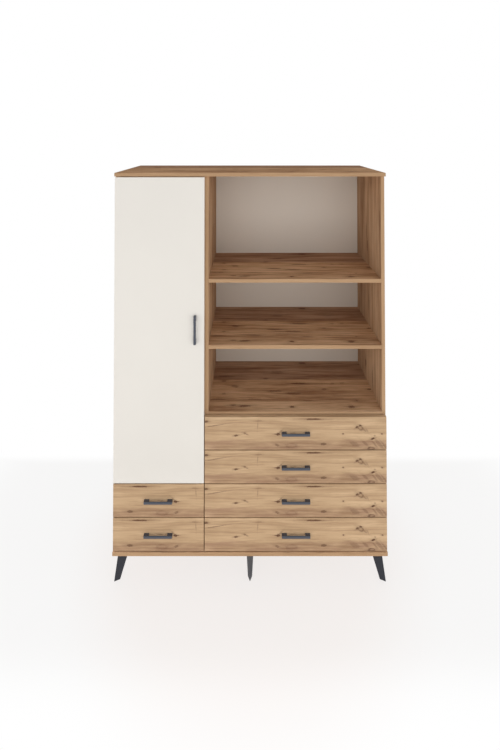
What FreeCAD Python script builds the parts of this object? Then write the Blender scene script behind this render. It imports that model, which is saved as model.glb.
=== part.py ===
import FreeCAD, Part
import math
import os

import Sketcher
from FreeCAD import Placement, Rotation, Vector

# Free-standing chifforobe in millimetres. +X is to the right, +Y to the rear, +Z up.
# The origin is on the floor, under the middle of the whole piece, handles included.

RIGHT_DRAWERS = 4
LEFT_DRAWERS = 2
SHELF_BOARDS = 3
HINGES = 3

# Two places count as one within this share.
NEAR_SHARE = 1e-6

SIZES = {
    # Carcass boards
    "body_width": 1200,
    "body_depth": 450,
    "wardrobe_width": 400,
    "board_thickness": 16,
    "top_thickness": 16,
    "shelf_opening": 276,
    "upper_opening": 458,
    "deck_cover": 6,
    "back_thickness": 3,
    "back_inset": 7,
    "back_groove_depth": 6,
    "edge_bevel": 0.8,
    # Door and drawer fronts
    "front_thickness": 16,
    "front_reveal": 3,
    "front_clearance": 2.5,
    "front_gap": 3.5,
    "drawer_front_height": 142,
    # Drawer boxes and their runners
    "box_length": 400,
    "box_height": 100,
    "box_lift": 18,
    "box_board": 15,
    "box_clearance": 3,
    "bottom_thickness": 3,
    "bottom_lift": 10,
    "bottom_groove_depth": 5,
    "runner_end_inset": 12.5,
    "runner_height": 16,
    "runner_setback": 5,
    "runner_engagement": 7,
    "running_gap": 0.3,
    # Handles
    "handle_length": 124,
    "handle_projection": 16.5,
    "handle_height": 10.5,
    "handle_foot_length": 22,
    "handle_bar_depth": 4.5,
    "handle_corner_radius": 3,
    "handle_rise": 1.5,
    "door_handle_inset": 40,
    # Cup hinges
    "hinge_inset": 100,
    "cup_diameter": 35,
    "cup_edge": 3,
    "cup_wall": 0.7,
    "cup_fit": 0.1,
    "bore_skin": 3.5,
    "flange_width": 26,
    "flange_length": 62,
    "flange_rim": 1.2,
    "flange_thickness": 1,
    "pin_diameter": 2.2,
    "pin_edge": 6.5,
    "pin_floor_gap": 3.2,
    "pin_fit": 0.05,
    "knuckle_diameter": 4.4,
    "knuckle_width": 5.2,
    "ear_thickness": 1.8,
    "arm_reach": 14,
    "arm_thickness": 2,
    "arm_width": 14,
    "arm_block_setback": 20,
    "arm_block_length": 42,
    "arm_block_width": 20,
    # Hat shelf and hanging rail behind the door
    "hat_space": 300,
    "hat_shelf_setback": 12,
    "hat_shelf_play": 0.5,
    "shelf_pin_diameter": 5,
    "shelf_pin_depth": 8,
    "shelf_pin_inset": 60,
    "shelf_pin_fit": 0.05,
    "pin_pad_length": 9,
    "pin_pad_width": 10,
    "pin_pad_thickness": 3,
    "rail_diameter": 25,
    "rail_wall": 1.5,
    "rail_drop": 60,
    "socket_diameter": 46,
    "socket_plate": 3,
    "socket_depth": 12,
    "socket_wall": 2.5,
    # Legs
    "leg_height": 115,
    "leg_top_depth": 45,
    "leg_foot_width": 19,
    "leg_foot_depth": 23.5,
    "leg_wall": 3,
    "leg_splay": 20,
    "leg_tip_inset": 7,
    "leg_plate_thickness": 3,
    "leg_screw_hole": 4.5,
    # How far cutting shapes run past the faces they open
    "overrun": 1,
}

# Places worked out from the sizes.
PLACES = {
    "body_front": "-(Size.body_depth - Size.handle_projection + Size.front_reveal) / 2",
    "body_rear": "body_front + Size.body_depth",
    "fronts_face": "body_front + Size.front_reveal",
    "fronts_back": "fronts_face + Size.front_thickness",
    "carcass_front": "fronts_back + Size.front_clearance",
    "back_face": "body_rear - Size.back_inset - Size.back_thickness",
    "back_rear": "body_rear - Size.back_inset",
    "body_left": "-Size.body_width / 2",
    "body_right": "Size.body_width / 2",
    "left_inside": "body_left + Size.board_thickness",
    "right_inside": "body_right - Size.board_thickness",
    "split": "body_left + Size.wardrobe_width",
    "wardrobe_inside": "split - Size.board_thickness",
    "shelves_inside": "split + Size.board_thickness",
    "base_top": "Size.leg_height + Size.board_thickness",
    "drawer_pitch": "Size.drawer_front_height + Size.front_gap",
    "deck_bottom": f"base_top + {RIGHT_DRAWERS} * drawer_pitch - Size.deck_cover",
    "deck_top": "deck_bottom + Size.board_thickness",
    "shelf_pitch": "Size.shelf_opening + Size.board_thickness",
    "upper_shelf_top": f"deck_top + {SHELF_BOARDS - 1} * shelf_pitch",
    "top_underside": "upper_shelf_top + Size.upper_opening",
    "overall_height": "top_underside + Size.top_thickness",
    "door_bottom": f"base_top + {LEFT_DRAWERS} * drawer_pitch + Size.front_gap",
    "door_top": "top_underside - Size.front_gap",
    "door_left": "body_left + Size.front_gap / 2",
    "door_right": "split - Size.front_gap / 2",
    "left_deck_bottom": "door_bottom - (Size.front_gap + Size.board_thickness) / 2",
    "bore_depth": "Size.front_thickness - Size.bore_skin",
    "bore_floor": "fronts_back - bore_depth",
    "cup_axis": "door_left + Size.cup_edge + Size.cup_diameter / 2",
    "cup_radius": "Size.cup_diameter / 2 - Size.cup_fit",
    "pin_across": "door_left + Size.pin_edge",
    "pin_along": "bore_floor + Size.pin_floor_gap",
    "hinge_pitch": f"(door_top - door_bottom - 2 * Size.hinge_inset) / {HINGES - 1}",
    "ear_start": "Size.knuckle_width / 2 + Size.running_gap",
    "ear_end": "ear_start + Size.ear_thickness",
    "arm_block_front": "carcass_front + Size.arm_block_setback",
    "arm_block_rear": "arm_block_front + Size.arm_block_length",
    "hat_shelf_bottom": "top_underside - Size.hat_space - Size.board_thickness",
    "hat_shelf_front": "carcass_front + Size.hat_shelf_setback",
    "shelf_pin_height": "hat_shelf_bottom - Size.pin_pad_thickness",
    "rail_height": "hat_shelf_bottom - Size.rail_drop",
    "rail_along": "(carcass_front + back_face) / 2",
    "socket_bore": "Size.rail_diameter / 2 + Size.running_gap",
    "box_rear": "fronts_back + Size.box_length",
    "bar_half": "Size.handle_length / 2 - Size.handle_foot_length",
    "leg_section_depth": "Size.leg_top_depth + Size.leg_wall",
    "leg_section_width": "Size.leg_foot_width * leg_section_depth / Size.leg_foot_depth",
    "leg_rear": "Size.leg_splay + Size.leg_top_depth",
}

doc = FreeCAD.newDocument("Chifforobe")
nodes = []


def fill_sheet(name, rows):
    """Write one sheet of named cells."""
    sheet = doc.addObject("Spreadsheet::Sheet", name)
    for row, (alias, text) in enumerate(rows.items(), start=1):
        sheet.set(f"A{row}", alias)
        sheet.setAlias(f"B{row}", alias)
        sheet.set(f"B{row}", str(text))
    return sheet


fill_sheet("Size", SIZES)
fill_sheet("Place", {alias: f"={formula}" for alias, formula in PLACES.items()})
doc.recompute()

TURNS = {
    "x": Rotation(Vector(0, 1, 0), 90),
    "y": Rotation(Vector(1, 0, 0), -90),
    "z": Rotation(),
}


def keep(piece):
    """Count a finished object as one named piece of the furniture."""
    nodes.append(piece)
    return piece


def bind_place(piece, x, y, z):
    """Tie an object's position to formulas."""
    for axis, formula in zip("xyz", (x, y, z)):
        piece.setExpression(f"Placement.Base.{axis}", formula)


def block(label, x, y, z):
    """A box between two formulas along each axis."""
    piece = doc.addObject("Part::Box", label)
    for size, (low, high) in zip(("Length", "Width", "Height"), (x, y, z)):
        piece.setExpression(size, f"({high}) - ({low})")
    bind_place(piece, x[0], y[0], z[0])
    return piece


def pick_edges(feature, is_picked):
    """The names of a feature's edges that is_picked chooses."""
    doc.recompute()
    return [f"Edge{number}" for number, edge in enumerate(feature.Shape.Edges, start=1) if is_picked(edge)]


def eased_block(label, x, y, z, is_eased):
    """A box with the edges that is_eased picks bevelled, as edge-banded board has them."""
    body = doc.addObject("PartDesign::Body", label)
    blank = body.newObject("PartDesign::AdditiveBox", f"{label}_blank")
    for size, (low, high) in zip(("Length", "Width", "Height"), (x, y, z)):
        blank.setExpression(size, f"({high}) - ({low})")
    picked = pick_edges(blank, is_eased)
    easing = body.newObject("PartDesign::Chamfer", f"{label}_easing")
    easing.Base = (blank, picked)
    easing.setExpression("Size", "Size.edge_bevel")
    bind_place(body, x[0], y[0], z[0])
    return body


def every_edge(edge):
    """Picks all twelve edges, for boards that show all round."""
    return edge.Length > 0


def long_front_edges(edge):
    """Picks the two long edges at the front, for boards that butt against others at their ends."""
    at_front = math.isclose(edge.CenterOfMass.y, 0, abs_tol=NEAR_SHARE)
    return at_front and edge.Length > SIZES["board_thickness"] * (1 + NEAR_SHARE)


def rod(label, axis, start, radius, length):
    """A cylinder that runs from its start point along one axis."""
    piece = doc.addObject("Part::Cylinder", label)
    piece.Placement = Placement(Vector(), TURNS[axis])
    piece.setExpression("Radius", radius)
    piece.setExpression("Height", length)
    bind_place(piece, *start)
    return piece


def cut(label, base, *tools):
    """The base with one or more tools taken away."""
    piece = doc.addObject("Part::Cut", label)
    piece.Base = base
    piece.Tool = tools[0] if len(tools) == 1 else group(f"{label}_tools", *tools)
    return piece


def fuse(label, *parts):
    """Several shapes joined into one solid."""
    piece = doc.addObject("Part::MultiFuse", label)
    piece.Shapes = list(parts)
    return piece


def group(label, *parts):
    """Several separate solids kept together."""
    piece = doc.addObject("Part::Compound", label)
    piece.Links = list(parts)
    return piece


def about(centre, half):
    """The two formulas of a span that is centred on a place."""
    return f"{centre} - {half}", f"{centre} + {half}"


# Sketch helpers for the moulded and pressed pieces

def origin_plane(body, role):
    """One of a body's own origin planes."""
    return next(plane for plane in body.Origin.OriginFeatures if plane.Role == role)


def new_sketch(body, label, role, lift):
    """An empty sketch on an origin plane, lifted along the plane's normal."""
    sketch = body.newObject("Sketcher::SketchObject", label)
    sketch.AttachmentSupport = [(origin_plane(body, role), "")]
    sketch.MapMode = "FlatFace"
    sketch.setExpression("AttachmentOffset.Base.z", lift)
    return sketch


def pin_point(sketch, edge, point, x, y):
    """Fix one point of a sketch at two formulas."""
    for kind, formula in (("DistanceX", x), ("DistanceY", y)):
        number = sketch.addConstraint(Sketcher.Constraint(kind, -1, 1, edge, point, 1))
        sketch.setExpression(f"Constraints[{number}]", formula)


def draw_polygon(sketch, points):
    """A closed outline whose corners are pairs of formulas."""
    count = len(points)
    first = sketch.GeometryCount
    angles = [2 * math.pi * index / count for index in range(count + 1)]
    ring = [Vector(math.cos(angle), math.sin(angle), 0) for angle in angles]
    for index in range(count):
        sketch.addGeometry(Part.LineSegment(ring[index], ring[index + 1]), False)
    for index in range(count):
        following = first + (index + 1) % count
        sketch.addConstraint(Sketcher.Constraint("Coincident", first + index, 2, following, 1))
    for index, (x, y) in enumerate(points):
        pin_point(sketch, first + index, 1, x, y)


def draw_circle(sketch, x, y, radius):
    """A circle with its centre and radius tied to formulas."""
    edge = sketch.addGeometry(Part.Circle(Vector(), Vector(0, 0, 1), 1), False)
    pin_point(sketch, edge, 3, x, y)
    number = sketch.addConstraint(Sketcher.Constraint("Radius", edge, 1))
    sketch.setExpression(f"Constraints[{number}]", radius)


def pad(body, label, sketch, length):
    """A pad along the sketch's normal."""
    feature = body.newObject("PartDesign::Pad", label)
    feature.Profile = sketch
    feature.setExpression("Length", length)
    return feature


def pocket_through(body, label, sketch, midplane=False):
    """A pocket from the sketch, or to both its sides, right through the body, which must get lighter."""
    doc.recompute()
    before = body.Shape.Volume
    feature = body.newObject("PartDesign::Pocket", label)
    feature.Profile = sketch
    feature.Type = "ThroughAll"
    feature.Midplane = midplane
    doc.recompute()
    if not body.Shape.Volume < before:
        raise RuntimeError(f"{label} cuts nothing")
    return feature


# Carcass boards

WIDE = ("Place.body_left", "Place.body_right")
DEEP = ("Place.body_front", "Place.body_rear")
TALL = ("Place.base_top", "Place.top_underside")
INNER_DEEP = ("Place.carcass_front", "Place.back_face")
FRONT_DEEP = ("Place.fronts_face", "Place.fronts_back")
BACK_WIDE = ("Place.left_inside - Size.back_groove_depth", "Place.right_inside + Size.back_groove_depth")
BACK_TALL = ("Place.base_top - Size.back_groove_depth", "Place.top_underside + Size.back_groove_depth")
BACK_DEEP = ("Place.back_face", "Place.back_rear")
PIN_PLACES = (
    "Place.hat_shelf_front + Size.shelf_pin_inset",
    "Place.back_face - Size.shelf_pin_inset",
)


def board(low):
    """The span of a level board from its underside."""
    return low, f"{low} + Size.board_thickness"


def back_slot(label):
    """The groove that the back panel sits in, cut into every board around it."""
    return block(f"{label}_slot", BACK_WIDE, BACK_DEEP, BACK_TALL)


def pin_holes(label, start):
    """Blind holes for the hat shelf's pins, running along X from the start."""
    radius = "Size.shelf_pin_diameter / 2 + Size.shelf_pin_fit"
    level = "Place.shelf_pin_height"
    return [
        rod(f"{label}_hole_{number}", "x", (start, along, level), radius, "Size.shelf_pin_depth")
        for number, along in enumerate(PIN_PLACES)
    ]


def slotted_board(label, x, y, z, is_eased, *holes):
    """A carcass board with the back panel's groove and any further holes."""
    plain = eased_block(f"{label}_plain", x, y, z, is_eased)
    return keep(cut(label, plain, back_slot(label), *holes))


def make_carcass():
    """Top, base, sides, inner uprights, shelves, decks and back."""
    slotted_board("top_panel", WIDE, DEEP, ("Place.top_underside", "Place.overall_height"), every_edge)
    slotted_board("base_panel", WIDE, DEEP, ("Size.leg_height", "Place.base_top"), every_edge)
    side_deep = ("Place.carcass_front", "Place.body_rear")
    left = ("Place.body_left", "Place.left_inside")
    left_holes = pin_holes("left_side", "Place.left_inside - Size.shelf_pin_depth")
    slotted_board("left_side_panel", left, side_deep, TALL, long_front_edges, *left_holes)
    right = ("Place.right_inside", "Place.body_right")
    slotted_board("right_side_panel", right, side_deep, TALL, long_front_edges)
    inner_left = ("Place.wardrobe_inside", "Place.split")
    upright = eased_block("wardrobe_upright_plain", inner_left, INNER_DEEP, TALL, long_front_edges)
    keep(cut("wardrobe_upright", upright, *pin_holes("wardrobe_upright", "Place.wardrobe_inside")))
    inner_right = ("Place.split", "Place.shelves_inside")
    keep(eased_block("shelf_upright", inner_right, INNER_DEEP, TALL, long_front_edges))
    across = ("Place.shelves_inside", "Place.right_inside")
    for number, label in enumerate(("right_deck", "lower_shelf", "upper_shelf")):
        level = board(f"Place.deck_bottom + {number} * Place.shelf_pitch")
        keep(eased_block(label, across, INNER_DEEP, level, long_front_edges))
    left_across = ("Place.left_inside", "Place.wardrobe_inside")
    left_level = board("Place.left_deck_bottom")
    keep(eased_block("left_deck", left_across, INNER_DEEP, left_level, long_front_edges))
    keep(block("back_panel", BACK_WIDE, BACK_DEEP, BACK_TALL))


# Hat shelf and hanging rail behind the door

def shelf_pin(label, start, pad_start, along):
    """A pin in a side, with a flat pad that carries the shelf."""
    radius = "Size.shelf_pin_diameter / 2"
    length = "Size.shelf_pin_depth + Size.pin_pad_length"
    shank = rod(f"{label}_shank", "x", (start, along, "Place.shelf_pin_height"), radius, length)
    pad_along = about(along, "Size.pin_pad_width / 2")
    pad_across = (pad_start, f"{pad_start} + Size.pin_pad_length")
    plate = block(f"{label}_pad", pad_across, pad_along, ("Place.shelf_pin_height", "Place.hat_shelf_bottom"))
    return fuse(label, shank, plate)


def rail_socket(label, plate_start, ring_start, bore_start):
    """A round wall plate with a ring that holds one end of the rail."""
    level = ("Place.rail_along", "Place.rail_height")
    plate = rod(f"{label}_plate", "x", (plate_start, *level), "Size.socket_diameter / 2", "Size.socket_plate")
    ring_radius = "Place.socket_bore + Size.socket_wall"
    ring_length = "Size.socket_depth + Size.socket_plate"
    ring = rod(f"{label}_ring", "x", (ring_start, *level), ring_radius, ring_length)
    hole = rod(f"{label}_bore", "x", (bore_start, *level), "Place.socket_bore", "Size.socket_depth")
    return cut(label, fuse(f"{label}_solid", plate, ring), hole)


def make_wardrobe_fittings():
    """Hat shelf on pins, and the rail in its sockets."""
    across = ("Place.left_inside + Size.hat_shelf_play", "Place.wardrobe_inside - Size.hat_shelf_play")
    hat_deep = ("Place.hat_shelf_front", "Place.back_face")
    keep(eased_block("hat_shelf", across, hat_deep, board("Place.hat_shelf_bottom"), long_front_edges))
    right_pad = "Place.wardrobe_inside - Size.pin_pad_length"
    sides = {
        "left": ("Place.left_inside - Size.shelf_pin_depth", "Place.left_inside"),
        "right": (right_pad, right_pad),
    }
    pins = [
        shelf_pin(f"shelf_pin_{side}_{number}", start, pad_start, along)
        for side, (start, pad_start) in sides.items()
        for number, along in enumerate(PIN_PLACES)
    ]
    keep(group("shelf_pins", *pins))
    level = ("Place.rail_along", "Place.rail_height")
    rail_start = "Place.left_inside + Size.socket_plate"
    rail_length = "Place.wardrobe_inside - Place.left_inside - 2 * Size.socket_plate"
    tube = rod("rail_outside", "x", (rail_start, *level), "Size.rail_diameter / 2", rail_length)
    bore_radius = "Size.rail_diameter / 2 - Size.rail_wall"
    bore = rod("rail_inside", "x", (rail_start, *level), bore_radius, rail_length)
    keep(cut("hanging_rail", tube, bore))
    left = rail_socket("left_socket", "Place.left_inside", "Place.left_inside", rail_start)
    right_ring = "Place.wardrobe_inside - Size.socket_plate - Size.socket_depth"
    right = rail_socket("right_socket", "Place.wardrobe_inside - Size.socket_plate", right_ring, right_ring)
    keep(group("rail_sockets", left, right))


# Door on three cup hinges

def hinge_level(number):
    """The height of one hinge."""
    return f"Place.door_bottom + Size.hinge_inset + {number} * Place.hinge_pitch"


def hinge_cup(number):
    """A pressed cup with its flange and the two ears that hold the pin."""
    label = f"hinge_cup_{number}"
    level = hinge_level(number)
    floor = ("Place.cup_axis", "Place.bore_floor", level)
    shell = rod(f"{label}_shell", "y", floor, "Place.cup_radius", "Place.bore_depth")
    mouth = ("Place.cup_axis", "Place.fronts_back", level)
    rim = rod(f"{label}_rim", "y", mouth, "Place.cup_radius + Size.flange_rim", "Size.flange_thickness")
    wings = block(
        f"{label}_wings",
        about("Place.cup_axis", "Size.flange_width / 2"),
        ("Place.fronts_back", "Place.fronts_back + Size.flange_thickness"),
        about(level, "Size.flange_length / 2"),
    )
    inside = rod(
        f"{label}_inside",
        "y",
        ("Place.cup_axis", "Place.bore_floor + Size.cup_wall", level),
        "Place.cup_radius - Size.cup_wall",
        "Place.bore_depth + Size.flange_thickness",
    )
    bowl = cut(f"{label}_bowl", fuse(f"{label}_solid", shell, rim, wings), inside)
    ear_across = about("Place.pin_across", "Size.knuckle_diameter / 2")
    ear_along = ("Place.bore_floor", "Place.pin_along + Size.knuckle_diameter / 2")
    below = (f"{level} - Place.ear_end", f"{level} - Place.ear_start")
    above = (f"{level} + Place.ear_start", f"{level} + Place.ear_end")
    lower = block(f"{label}_lower_ear", ear_across, ear_along, below)
    upper = block(f"{label}_upper_ear", ear_across, ear_along, above)
    hole = rod(
        f"{label}_eye",
        "z",
        ("Place.pin_across", "Place.pin_along", f"{level} - Place.ear_end"),
        "Size.pin_diameter / 2 + Size.pin_fit",
        "2 * Place.ear_end",
    )
    return cut(label, fuse(f"{label}_eared", bowl, lower, upper), hole)


def hinge_pin(number):
    """The pin that the door turns on."""
    start = ("Place.pin_across", "Place.pin_along", f"{hinge_level(number)} - Place.ear_end")
    return rod(f"hinge_pin_{number}", "z", start, "Size.pin_diameter / 2", "2 * Place.ear_end")


def hinge_arm(number):
    """The fixed arm: a block on the side panel, a cranked strip and the knuckle round the pin."""
    label = f"hinge_arm_{number}"
    level = hinge_level(number)
    arm_left = "Place.pin_across + Size.arm_reach"
    arm_right = f"{arm_left} + Size.arm_thickness"
    strip = about("Place.pin_along", "Size.arm_thickness / 2")
    inner_tall = about(level, "Size.knuckle_width / 2")
    inner = block(f"{label}_inner", ("Place.pin_across", arm_right), strip, inner_tall)
    outer = block(
        f"{label}_outer",
        (arm_left, arm_right),
        (strip[0], "Place.arm_block_rear"),
        about(level, "Size.arm_width / 2"),
    )
    plate = block(
        f"{label}_plate",
        ("Place.left_inside", arm_left),
        ("Place.arm_block_front", "Place.arm_block_rear"),
        about(level, "Size.arm_block_width / 2"),
    )
    start = ("Place.pin_across", "Place.pin_along", f"{level} - Size.knuckle_width / 2")
    knuckle = rod(f"{label}_knuckle", "z", start, "Size.knuckle_diameter / 2", "Size.knuckle_width")
    eye = rod(f"{label}_eye", "z", start, "Size.pin_diameter / 2 + Size.pin_fit", "Size.knuckle_width")
    return cut(label, fuse(f"{label}_solid", inner, outer, plate, knuckle), eye)


def make_door():
    """Door panel bored for its cups, with the hinges and the handle."""
    plain = eased_block(
        "door_plain",
        ("Place.door_left", "Place.door_right"),
        FRONT_DEEP,
        ("Place.door_bottom", "Place.door_top"),
        every_edge,
    )
    bores = [
        rod(
            f"cup_bore_{number}",
            "y",
            ("Place.cup_axis", "Place.bore_floor", hinge_level(number)),
            "Size.cup_diameter / 2",
            "Place.bore_depth + Size.overrun",
        )
        for number in range(HINGES)
    ]
    keep(cut("door_panel", plain, *bores))
    keep(group("hinge_cups", *[hinge_cup(number) for number in range(HINGES)]))
    keep(group("hinge_pins", *[hinge_pin(number) for number in range(HINGES)]))
    keep(group("hinge_arms", *[hinge_arm(number) for number in range(HINGES)]))
    upright = Rotation(Vector(0, 1, 0), 90)
    middle = "(Place.door_bottom + Place.door_top) / 2"
    make_handle("door_handle", upright, "Place.door_right - Size.door_handle_inset", middle)


# Handles

def make_handle(label, turn, across, level):
    """A bridge handle: two feet with rounded front corners, and a flat bar of the same height between them."""
    body = doc.addObject("PartDesign::Body", label)
    end = "Size.handle_length / 2"
    foot = "Place.bar_half"
    out = "-Size.handle_projection"
    bar_back = "-(Size.handle_projection - Size.handle_bar_depth)"
    plan = new_sketch(body, f"{label}_plan", "XY_Plane", "-Size.handle_height / 2")
    draw_polygon(plan, [
        (f"-{end}", "0"), (f"-{end}", out), (end, out), (end, "0"),
        (foot, "0"), (foot, bar_back), (f"-{foot}", bar_back), (f"-{foot}", "0"),
    ])
    bow = pad(body, f"{label}_bow", plan, "Size.handle_height")
    corners = pick_edges(bow, lambda edge: is_outer_corner(edge, plan))
    rounding = body.newObject("PartDesign::Fillet", f"{label}_rounding")
    rounding.Base = (bow, corners)
    rounding.setExpression("Radius", "Size.handle_corner_radius")
    rims = pick_edges(rounding, lambda edge: is_front_rim(edge, plan))
    easing = body.newObject("PartDesign::Chamfer", f"{label}_easing")
    easing.Base = (rounding, rims)
    easing.setExpression("Size", "Size.edge_bevel")
    body.Placement = Placement(Vector(), turn)
    bind_place(body, across, "Place.fronts_face", level)
    return keep(body)


def is_outer_corner(edge, plan):
    """True for the upright edges at a handle's two outer front corners."""
    box = plan.Shape.BoundBox
    middle = edge.CenterOfMass
    upright = edge.BoundBox.ZLength > edge.BoundBox.XLength + edge.BoundBox.YLength
    at_end = math.isclose(abs(middle.x), box.XMax, rel_tol=NEAR_SHARE)
    return upright and at_end and math.isclose(middle.y, box.YMin, rel_tol=NEAR_SHARE)


def is_front_rim(edge, plan):
    """True for the upper and lower edges of a handle's long front face."""
    box = edge.BoundBox
    flat = math.isclose(box.YMax, plan.Shape.BoundBox.YMin, rel_tol=NEAR_SHARE)
    return flat and box.XLength > box.ZLength


# Drawers

def front_bottom(number):
    """The underside of one drawer front, counted from the base."""
    return f"Place.base_top + Size.front_gap + {number} * Place.drawer_pitch"


def drawer_side(label, outer, inner, groove, slot, level):
    """One drawer side with the runner groove outside and the bottom's groove inside."""
    along = ("Place.fronts_back", "Place.box_rear")
    middle = f"{level} + Size.box_height / 2"
    blank = block(f"{label}_blank", (outer, inner), along, (level, f"{level} + Size.box_height"))
    runway_tall = about(middle, "(Size.runner_height / 2 + Size.running_gap)")
    runway = block(f"{label}_runway", groove, along, runway_tall)
    bottom = f"{level} + Size.bottom_lift"
    rebate = block(f"{label}_rebate", slot, along, (bottom, f"{bottom} + Size.bottom_thickness"))
    return cut(label, blank, runway, rebate)


def make_drawer(label, number, unit, inside):
    """Front, grooved sides, back, bottom and handle. Returns its two runners."""
    low = front_bottom(number)
    level = f"{low} + Size.box_lift"
    bottom = f"{level} + Size.bottom_lift"
    floor = f"{bottom} + Size.bottom_thickness"
    unit_left, unit_right = unit
    inside_left, inside_right = inside
    left_out = f"{inside_left} + Size.box_clearance"
    left_in = f"{left_out} + Size.box_board"
    right_out = f"{inside_right} - Size.box_clearance"
    right_in = f"{right_out} - Size.box_board"
    groove = "(Size.runner_engagement + Size.running_gap)"
    front_across = (f"{unit_left} + Size.front_gap / 2", f"{unit_right} - Size.front_gap / 2")
    front_tall = (low, f"{low} + Size.drawer_front_height")
    keep(eased_block(f"{label}_front", front_across, FRONT_DEEP, front_tall, every_edge))
    left_slot = (f"{left_in} - Size.bottom_groove_depth", left_in)
    right_slot = (right_in, f"{right_in} + Size.bottom_groove_depth")
    left_groove = (left_out, f"{left_out} + {groove}")
    right_groove = (f"{right_out} - {groove}", right_out)
    left = drawer_side(f"{label}_left_side", left_out, left_in, left_groove, left_slot, level)
    right = drawer_side(f"{label}_right_side", right_in, right_out, right_groove, right_slot, level)
    keep(group(f"{label}_sides", left, right))
    back_along = ("Place.box_rear - Size.box_board", "Place.box_rear")
    keep(block(f"{label}_back", (left_in, right_in), back_along, (floor, f"{level} + Size.box_height")))
    bottom_across = (left_slot[0], right_slot[1])
    keep(block(f"{label}_bottom", bottom_across, ("Place.fronts_back", "Place.box_rear"), (bottom, floor)))
    middle = f"({unit_left} + {unit_right}) / 2"
    grip_level = f"{low} + Size.drawer_front_height / 2 + Size.handle_rise"
    make_handle(f"{label}_handle", Rotation(), middle, grip_level)
    reach = "Size.box_clearance + Size.runner_engagement"
    along = ("Place.carcass_front + Size.runner_setback", "Place.box_rear - Size.runner_end_inset")
    tall = about(f"{level} + Size.box_height / 2", "Size.runner_height / 2")
    return [
        block(f"{label}_left_runner", (inside_left, f"{inside_left} + {reach}"), along, tall),
        block(f"{label}_right_runner", (f"{inside_right} - ({reach})", inside_right), along, tall),
    ]


def make_drawers():
    """Both stacks of drawers, and the runners on the carcass."""
    right_unit = ("Place.split", "Place.body_right")
    left_unit = ("Place.body_left", "Place.split")
    stacks = {
        "right": (RIGHT_DRAWERS, right_unit, ("Place.shelves_inside", "Place.right_inside")),
        "left": (LEFT_DRAWERS, left_unit, ("Place.left_inside", "Place.wardrobe_inside")),
    }
    runners = []
    for side, (count, unit, inside) in stacks.items():
        for number in range(count):
            runners += make_drawer(f"{side}_drawer_{count - number}", number, unit, inside)
    keep(group("drawer_runners", *runners))


# Legs

SCREW_SHARES = ((0, 0.46), (-0.36, 0.8), (0.36, 0.8))


def v_outline():
    """A V section open to the rear, with its ridge at the front."""
    half = "Place.leg_section_width / 2"
    depth = "Place.leg_section_depth"
    flange = f"hypot({half}; {depth})"
    wall_across = f"{half} - Size.leg_wall * {depth} / {flange}"
    wall_along = f"{depth} + Size.leg_wall * {half} / {flange}"
    return [
        ("0", "0"), (half, depth), (wall_across, wall_along),
        ("0", f"Size.leg_wall * {flange} / ({half})"),
        (f"-({wall_across})", wall_along), (f"-{half}", depth),
    ]


def make_leg(label, turn, across, along):
    """A splayed leg: a folded V that tapers to the floor, under a plate with screw holes."""
    body = doc.addObject("PartDesign::Body", label)
    section = new_sketch(body, f"{label}_section", "XY_Plane", "0")
    draw_polygon(section, v_outline())
    fold = pad(body, f"{label}_fold", section, "Size.leg_height")
    fold.UseCustomVector = True
    fold.AlongSketchNormal = True
    fold.Direction = Vector(0, 0, 1)
    fold.setExpression("Direction.y", "Size.leg_splay")
    fold.setExpression("Direction.z", "Size.leg_height")
    plate = new_sketch(body, f"{label}_plate", "XY_Plane", "Size.leg_height - Size.leg_plate_thickness")
    rear = "Size.leg_splay + Place.leg_section_depth"
    draw_polygon(plate, [
        ("0", "Size.leg_splay"),
        ("Place.leg_section_width / 2", rear),
        ("-Place.leg_section_width / 2", rear),
    ])
    pad(body, f"{label}_plate_pad", plate, "Size.leg_plate_thickness")
    taper = new_sketch(body, f"{label}_taper", "YZ_Plane", "0")
    clear = f"{rear} + Size.leg_wall"
    draw_polygon(taper, [
        ("Size.leg_foot_depth", "0"), ("Place.leg_rear", "Size.leg_height"),
        (clear, "Size.leg_height"), (clear, "0"),
    ])
    pocket_through(body, f"{label}_trim", taper, midplane=True)
    drill = new_sketch(body, f"{label}_drill", "XY_Plane", "Size.leg_height")
    for across_share, depth_share in SCREW_SHARES:
        across_hole = f"{across_share} * Place.leg_section_width / 2"
        along_hole = f"Size.leg_splay + {depth_share} * Size.leg_top_depth"
        draw_circle(drill, across_hole, along_hole, "Size.leg_screw_hole / 2")
    pocket_through(body, f"{label}_holes", drill)
    body.Placement = Placement(Vector(), Rotation(Vector(0, 0, 1), turn))
    bind_place(body, across, along, "0")
    return keep(body)


def make_legs():
    """Corner legs point outwards along the diagonals, centre legs to the front and the rear."""
    left = "Place.body_left + Size.leg_tip_inset"
    right = "Place.body_right - Size.leg_tip_inset"
    front = "Place.body_front + Size.leg_tip_inset"
    rear = "Place.body_rear - Size.leg_tip_inset"
    make_leg("front_left_leg", -45, left, front)
    make_leg("front_centre_leg", 0, "0", front)
    make_leg("front_right_leg", 45, right, front)
    make_leg("rear_left_leg", -135, left, rear)
    make_leg("rear_centre_leg", 180, "0", rear)
    make_leg("rear_right_leg", 135, right, rear)


def check_document():
    """Stop if anything failed to build."""
    doc.recompute()
    for item in doc.Objects:
        if "Invalid" in item.State or "Error" in item.State:
            raise RuntimeError(f"{item.Label} failed: {item.State}")
    for node in nodes:
        if node.Shape.isNull() or not node.Shape.isValid():
            raise RuntimeError(f"{node.Label} has no valid shape")


def write_parts():
    """One file for each piece."""
    os.makedirs("parts", exist_ok=True)
    for node in nodes:
        node.Shape.exportStep(f"parts/{node.Label}.step")


make_carcass()
make_wardrobe_fittings()
make_door()
make_drawers()
make_legs()
check_document()
write_parts()
print(len(nodes), "pieces")
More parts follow.
